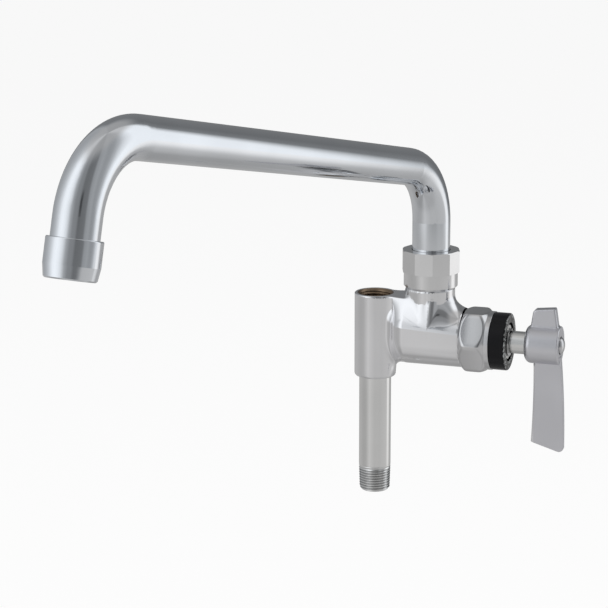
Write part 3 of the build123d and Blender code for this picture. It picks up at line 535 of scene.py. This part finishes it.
# ---- the forging's outside ----
# sizes in millimetres, in the part's own frame
AXIS_Z = 88.0                    # the valve's axis, along X
COLUMN_R = 11.1725
COLUMN_TOP = 109.6
NIPPLE_TOP = 64.0                # where the nipple goes into the column
BARREL_R = 15.3
BARREL_END = 49.2
DOME_CENTRE = 19.0               # of the half ellipsoid that ends the barrel
DOME_LENGTH = 9.0
SIDE_R = 15.15                   # to the barrel's flat side
SIDE_HEIGHT = 5.5                # of the flat side, above the valve's axis, level with the boss
SIDE_FALL = 0.05
CROWN = 10.7                     # from the top of the flat side to the barrel's top
BOSS_X = 30.2
BOSS_R = 12.9
BOSS_TOP = 114.6
BOSS_SKIRT_TOP = 107.5           # from here down the boss widens by this slope, over this height
BOSS_SKIRT_SLOPE = 0.15
BOSS_SKIRT = 13.5
BOSS_MARGIN = 0.7                # the cut that makes the deck stays this far off the boss's side
WEB_X = 8.8                      # where the web's top leaves the column
WEB_HALF = 7.7                   # half its width there, and what that gains along X
WEB_SPREAD = 0.215
WEB_INSET = 0.05                 # of the web's foot from the barrel's flat side; the blend fills it
WEB_DROP = COLUMN_TOP - AXIS_Z - SIDE_HEIGHT
WEB_EASE_FROM = 0.85             # shares of that drop: the web's side turns upright from here, over this
WEB_EASE = 0.3
WEB_END = 2.0                    # past the boss's axis, where the web starts to draw in
WEB_END_CURVE = 0.13
WEB_TUCK = 3.0                   # below the flat side's top, where it starts to draw in too
WEB_TUCK_CURVE = 0.05
UNDERCUT = 0.02                  # the skin lies this far inside the solid column's side and top
# how far the blends reach, and how round the cut edges are
FLARE_REACH = 11.7
FRONT_LESS = 6.5                 # the flare's fillet is tighter in front than at its outer end
COLUMN_REACH = 6.5
WEB_REACH = 8.0
FOOT_REACH = 2.4
DECK_ROUND = 0.17
END_ROUND = 0.1
FOOT_ROUND = 0.5
# the rays that find the skin
EYE = (12.0, 0.0, 90.0)          # where they start
RAY_ANGLES = (21.0, 179.7)       # degrees from +X, first and last
RAY_COUNTS = (256, 377)          # by that angle, and round X
FIRST_REACH = 2.0
STRIDE = 0.6                     # share of the field that each step moves by, so that it settles
STRIDES = 140
SLOPE_STEP = 0.01
# which faces the skin and the node keep
SOCKET_MARGIN = 0.4              # the skin ends this far inside the column's side, near its top
SOCKET_TOP = 1.0
SKIN_DEPTH = 0.5                 # faces of the node this near the skin are left out
FACE_DEPTH = 0.6                 # but an end face, to this depth, keeps what is inside its rim
RIM_WIDTH = 1.0
FOOT_RIM = 2.2                   # the rim's width at the column's foot
HAIR = 0.1                       # room for rounding at the socket's side and floor


def unit(x, y, z):
    """Direction of a vector, as one array."""
    length = np.sqrt(x * x + y * y + z * z) + 1e-9
    return np.stack([x / length, y / length, z / length])


def upright(x, y, z, centre, radius):
    """Distance and direction from an upright cylinder."""
    return np.hypot(x - centre, y) - radius, unit(x - centre, y, 0 * z)


def barrel_field(x, y, z):
    """Round below the valve's axis; above it a flat side and a quarter ellipse; an ellipsoid's end."""
    h = z - AXIS_Z
    top = SIDE_HEIGHT - SIDE_FALL * (x - BOSS_X)
    up, down = np.maximum(h - top, 0) / CROWN, np.minimum(h, 0) / BARREL_R
    along = np.minimum(x - DOME_CENTRE, 0) / DOME_LENGTH
    size = np.sqrt(along**2 + (y / SIDE_R) ** 2 + up**2 + down**2) + 1e-9
    return (size - 1) * SIDE_R, unit(along / DOME_LENGTH, y / SIDE_R**2, up / CROWN + down / BARREL_R)


def web_field(x, y, z):
    """A slab that widens towards the boss, and downwards to the barrel's flat side.

    Its side is straight, turns upright by a parabola, and draws in by two more past the boss and below."""
    top = WEB_HALF + WEB_SPREAD * (x - WEB_X)
    end = np.clip((DOME_CENTRE - x) / DOME_LENGTH, 0, 1)
    foot = np.maximum((SIDE_R - WEB_INSET) * np.sqrt(1 - end**2), top)
    sunk = (COLUMN_TOP - z) / WEB_DROP
    past = np.clip(sunk - WEB_EASE_FROM, 0, WEB_EASE)
    low = np.clip(sunk, 0, WEB_EASE_FROM + WEB_EASE) - past**2 / (2 * WEB_EASE)
    beyond = np.maximum(x - BOSS_X - WEB_END, 0)
    under = np.maximum(AXIS_Z + SIDE_HEIGHT - WEB_TUCK - z, 0)
    half = top + (foot - top) * low - WEB_END_CURVE * beyond**2 - WEB_TUCK_CURVE * under**2
    lean = (foot - top) / WEB_DROP * (1 - past / WEB_EASE) - 2 * WEB_TUCK_CURVE * under
    way = unit(2 * WEB_END_CURVE * beyond - WEB_SPREAD, np.sign(y), lean)
    return (np.abs(y) - half) / np.hypot(1, lean), way


def blended(first, second, reach):
    """Union with a fillet whose reach grows with the angle between the two surfaces."""
    (a, a_way), (b, b_way) = first, second
    k = reach * (1 - np.sum(a_way * b_way, axis=0)) + 1e-6
    share = np.clip(0.5 + 0.5 * (b - a) / k, 0, 1)
    overlap = np.clip(1 - np.abs(a - b) / k, 0, 1)
    way = share * a_way + (1 - share) * b_way
    return np.minimum(a, b) - overlap**2 * k / 4, unit(*way)


def cut_off(field, distance, round_off):
    """Keeps what lies inside a plane, with a small rounded edge."""
    k = 4 * round_off
    overlap = np.clip(1 - np.abs(field - distance) / k, 0, 1)
    return np.maximum(field, distance) + overlap**2 * k / 4


def skin_field(x, y, z):
    """Signed distance, near enough, from the forging's outside."""
    barrel = barrel_field(x, y, z)
    boss, boss_way = upright(x, y, z, BOSS_X, BOSS_R)
    deep = np.clip(BOSS_SKIRT_TOP - z, 0, BOSS_SKIRT)
    boss = np.maximum(boss - BOSS_SKIRT_SLOPE * deep, AXIS_Z - z)
    outward = np.clip((x - BOSS_X) / BOSS_R, 0, 1)
    outward = outward * outward * (3 - 2 * outward)
    lump = blended(barrel, (boss, boss_way), FLARE_REACH - FRONT_LESS * (1 - outward))
    web, web_way = web_field(x, y, z)
    lump = blended(lump, (np.maximum(web, -x), web_way), WEB_REACH)
    lump = blended(lump, upright(x, y, z, 0, COLUMN_R - UNDERCUT), COLUMN_REACH)[0]
    level = z - COLUMN_TOP + UNDERCUT, np.stack([0 * x, 0 * x, 0 * x + 1])
    deck = blended(level, (boss - BOSS_MARGIN, boss_way), FOOT_REACH)[0]
    whole = cut_off(lump, deck, DECK_ROUND)
    whole = cut_off(whole, z - BOSS_TOP, END_ROUND)
    whole = cut_off(whole, x - BARREL_END, END_ROUND)
    return cut_off(whole, NIPPLE_TOP - z, FOOT_ROUND)


def skin_surface():
    """Rays from one point inside, turned about a line along X; each stops where the field is 0."""
    angles = np.radians(np.linspace(*RAY_ANGLES, RAY_COUNTS[0]))
    theta, phi = np.meshgrid(angles, np.linspace(2 * pi, 0, RAY_COUNTS[1]), indexing="ij")
    ray = np.stack([np.cos(theta), np.sin(theta) * np.cos(phi), np.sin(theta) * np.sin(phi)])
    eye = np.array(EYE)[:, None, None]
    reach = np.full(theta.shape, FIRST_REACH)
    for _ in range(STRIDES):
        reach -= STRIDE * skin_field(*(eye + reach * ray))
    points = eye + reach * ray
    slopes = []
    for axis in range(3):
        shift = np.zeros((3, 1, 1))
        shift[axis] = SLOPE_STEP
        slopes.append(skin_field(*(points + shift)) - skin_field(*(points - shift)))
    return np.moveaxis(points, 0, -1), np.moveaxis(unit(*slopes), 0, -1)


def forged_skin():
    """The forging's outside as one smooth skin, with the field's own slopes as its normals."""
    points, normals = skin_surface()
    mesh = grid_mesh("forged_skin", MM * points, closed=True)
    mesh.normals_split_custom_set_from_vertices(normals[:, :-1].reshape(-1, 3).tolist())
    x, y, z = np.moveaxis((points[:-1, :-1] + points[1:, 1:]) / 2, -1, 0)
    over_socket = (np.hypot(x, y) < COLUMN_R - SOCKET_MARGIN) & (z > COLUMN_TOP - SOCKET_TOP)
    drop_faces(mesh, over_socket.ravel())
    return added("forged_skin", mesh, FINISH["body_chrome"])


def open_body():
    """The body's node without its outside, which the skin replaces, and without its riser socket."""
    node = nodes["faucet_body"]
    spots = np.empty(3 * len(node.data.vertices))
    node.data.vertices.foreach_get("co", spots)
    matrix = np.array(node.matrix_world)
    x, y, z = (spots.reshape(-1, 3) @ matrix[:3, :3].T + matrix[:3, 3]).T / MM
    column = np.hypot(x, y)
    outside = skin_field(x, y, z) > -SKIN_DEPTH
    outside &= (x < BARREL_END - FACE_DEPTH) | (np.hypot(y, z - AXIS_Z) > BARREL_R - RIM_WIDTH)
    outside &= (z < BOSS_TOP - FACE_DEPTH) | (np.hypot(x - BOSS_X, y) > BOSS_R - RIM_WIDTH)
    outside &= (z > NIPPLE_TOP + FACE_DEPTH) | (column > COLUMN_R - FOOT_RIM)
    outside |= (column < COLUMN_R + HAIR) & (z > COLUMN_TOP - SOCKET_DEPTH + HAIR)
    corners = np.empty(len(node.data.loops), int)
    node.data.loops.foreach_get("vertex_index", corners)
    mesh = node.data.copy()
    drop_faces(mesh, outside[corners.reshape(-1, 3)].any(axis=1))
    mesh.materials.clear()
    return added("bored_body", mesh, FINISH["body_chrome"])


# ---- the two pipe threads ----
THREAD_PITCH = 25.4 / 18
THREAD_DEPTH = 0.72
THREAD_TAPER = 1 / 32            # of the radius, along the pipe
GROOVE_POWER = 0.7               # below 1: the groove is wider than the crest
PIPE_TURNS = 97
SOCKET_R = 8.6025
SOCKET_DEPTH = 13.0
SOCKET_CHAMFER = 1.15
SOCKET_ROWS = 160
RIM_ROUND = 0.5
RIM_ROWS = 7
RIM_HEIGHT = 0.6                 # of the chromed part of the lining
MOUTH_OUT = 0.08                 # the small slope from the rim to the chamfer: out, in and down
MOUTH_IN = 0.05
MOUTH_DOWN = 0.12
PIPE_R = 8.5725
BORE_R = 6.25
NIPPLE_ROUND = 0.6
NIPPLE_ROUND_ROWS = 6
THREAD_LENGTH = 12.6
THREAD_ROWS = 190
THREAD_PAST = 2                  # turns past its length where these rows end
LEAD_IN = 0.5                    # height over which the thread rises from the nipple's end
RUN_OUT = 2.5                    # turns over which it fades, up to this many past its length
RUN_PAST = 1.5


def groove_depth(rise, turn):
    """Depth of the thread's groove: a power of a cosine of the height, wound by the turn."""
    wave = 0.5 - 0.5 * np.cos(2 * pi * rise / THREAD_PITCH - turn)
    return THREAD_DEPTH * wave**GROOVE_POWER


def threaded(name, radii, heights, share):
    """Surface of revolution about Z, with a share of the thread's groove at each row of its profile.

    The faces look outwards where the profile runs up.  Each vertex knows how deep in the groove it is."""
    turn = np.linspace(0, 2 * pi, PIPE_TURNS)[None, :]
    z = heights[:, None] + 0 * turn
    cut = share[:, None] * groove_depth(z, turn)
    r = radii[:, None] - cut
    points = np.stack([r * np.cos(turn), r * np.sin(turn), z], -1)
    mesh = grid_mesh(name, MM * points, closed=True)
    groove = mesh.attributes.new("groove", "FLOAT", "POINT")
    groove.data.foreach_set("value", (cut[:, :-1] / THREAD_DEPTH).ravel())
    return mesh


def socket_lining():
    """Riser socket: rounded rim, chamfer, then a thread that fades in and ends above the floor."""
    ring = np.linspace(0, 0.5 * pi, RIM_ROWS)
    rim_r = COLUMN_R - UNDERCUT - RIM_ROUND * (1 - np.cos(ring))
    rim_z = COLUMN_TOP - UNDERCUT - RIM_ROUND * (1 - np.sin(ring))
    mouth = SOCKET_R + SOCKET_CHAMFER
    deep = np.linspace(COLUMN_TOP - SOCKET_CHAMFER, COLUMN_TOP - SOCKET_DEPTH, SOCKET_ROWS)
    r = np.concatenate([rim_r, [mouth + MOUTH_OUT, mouth - MOUTH_IN], np.full(SOCKET_ROWS, SOCKET_R)])
    z = np.concatenate([rim_z, [COLUMN_TOP - UNDERCUT, COLUMN_TOP - MOUTH_DOWN], deep])
    share = np.clip((COLUMN_TOP - SOCKET_CHAMFER - z) / THREAD_PITCH, 0, 1)
    mesh = threaded("socket_lining", r, z, share)
    lining = added("socket_lining", mesh, socket_brass, FINISH["body_chrome"])
    middles = np.empty(3 * len(mesh.polygons))
    mesh.polygons.foreach_get("center", middles)
    chromed = middles[2::3] > MM * (COLUMN_TOP - RIM_HEIGHT)
    mesh.polygons.foreach_set("material_index", chromed.astype(int))
    return lining


def threaded_nipple():
    """Nipple: bore, rounded end, a thread whose crests taper and fade out, then plain pipe."""
    end = np.linspace(0, 0.5 * pi, NIPPLE_ROUND_ROWS)
    start_r = PIPE_R - THREAD_LENGTH * THREAD_TAPER - THREAD_DEPTH
    up = np.linspace(NIPPLE_ROUND, THREAD_LENGTH + THREAD_PAST * THREAD_PITCH, THREAD_ROWS)
    crest = PIPE_R - np.clip(THREAD_LENGTH - up, 0, None) * THREAD_TAPER
    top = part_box("inlet_nipple")[1][2] / MM
    top_r = PIPE_R - (top - NIPPLE_TOP) * THREAD_TAPER
    r = [[BORE_R, BORE_R], start_r - NIPPLE_ROUND * (1 - np.sin(end)), crest, [PIPE_R, top_r, BORE_R]]
    z = [[top, 0], NIPPLE_ROUND * (1 - np.cos(end)), up, [NIPPLE_TOP, top, top]]
    r, z = np.concatenate(r), np.concatenate(z)
    on_thread = r > start_r
    fade_in = np.clip((z - NIPPLE_ROUND) / LEAD_IN, 0, 1)
    fade_out = np.clip((THREAD_LENGTH + RUN_PAST * THREAD_PITCH - z) / (RUN_OUT * THREAD_PITCH), 0, 1)
    r = r - np.where(on_thread, 1 - fade_in, 0) * (r - start_r)
    mesh = threaded("threaded_nipple", r, z, np.where(on_thread, fade_in * fade_out, 0))
    return added("threaded_nipple", mesh, thread_plating_painted_shade)


# ---- the bonnet nut ----
FLANGE_END = 60.5
NUT_END = 64.9
NUT_TAIL = 2.4                   # the round collar past the hexagon
NUT_FLAT = 15.75
NUT_BOW = 0.08                   # how far the flats fall off at this distance from their middle
NUT_BOW_REACH = 6.5
NUT_CORNER = 18.0
NUT_ROUND = 15.45
NUT_DOME = 2.8
NUT_DOME_LENGTH = 4.4
NUT_BORE = 13.4
NUT_LIP = 11.1
CORNER_SOFT = 0.9
DOME_SOFT = 0.7
NUT_INNER_STEP = 0.9             # from the round part in to the edges of the nut's two ends
NUT_OUTER_STEP = 0.6
NUT_ROWS = 90
NUT_TURNS = 241


def softer_of(first, second, reach):
    """The smaller of two radii, with the crease between them rounded."""
    overlap = np.clip(1 - np.abs(first - second) / reach, 0, 1)
    return np.minimum(first, second) - overlap**2 * reach / 4


def domed_nut():
    """Hexagon nut: radius at a turn is flat / cos(turn to the nearest flat), cut by a dome at each end."""
    along = np.linspace(BARREL_END, NUT_END, NUT_ROWS)
    turn = np.linspace(0, 2 * pi, NUT_TURNS)[None, :]
    middle = 0.5 * (BARREL_END + NUT_END - NUT_TAIL)
    flat = NUT_FLAT - NUT_BOW * ((along - middle) / NUT_BOW_REACH)[:, None] ** 2
    hexagon = flat / np.cos((turn + pi / 6) % (pi / 3) - pi / 6)
    hexagon = softer_of(hexagon, NUT_CORNER, CORNER_SOFT)
    from_end = np.minimum(along - BARREL_END, np.maximum(NUT_END - NUT_TAIL - along, 0))
    dome = NUT_ROUND + NUT_DOME * np.sin(0.5 * pi * np.clip(from_end / NUT_DOME_LENGTH, 0, 1))
    outer = softer_of(hexagon, dome[:, None], DOME_SOFT)
    inner_edge, outer_edge = NUT_ROUND - NUT_INNER_STEP, NUT_ROUND - NUT_OUTER_STEP
    before = np.array([(FLANGE_END, NUT_BORE), (BARREL_END, NUT_BORE), (BARREL_END, inner_edge)])
    after = [(NUT_END, outer_edge), (NUT_END, NUT_LIP), (FLANGE_END, NUT_LIP), (FLANGE_END, NUT_BORE)]
    after = np.array(after)
    x = np.concatenate([before[:, 0], along, after[:, 0]])
    r = np.concatenate([before[:, 1:] + 0 * turn, outer, after[:, 1:] + 0 * turn])
    points = np.stack([x[:, None] + 0 * turn, -r * np.sin(turn), AXIS_Z + r * np.cos(turn)], -1)
    return added("domed_nut", grid_mesh("domed_nut", MM * points, closed=True), bonnet_plating)


# ---- the scene ----
place_camera()
build_studio()
dress_nodes()

skin = forged_skin()
inside = open_body()
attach(inside, "base")
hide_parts("faucet_body")
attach(skin, "base")
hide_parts("faucet_body")

lining = socket_lining()
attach(lining, "base")
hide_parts("faucet_body")

pipe = threaded_nipple()
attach(pipe, "base")
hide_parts("inlet_nipple")

bonnet = domed_nut()
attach(bonnet, "base")
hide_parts("bonnet_nut")
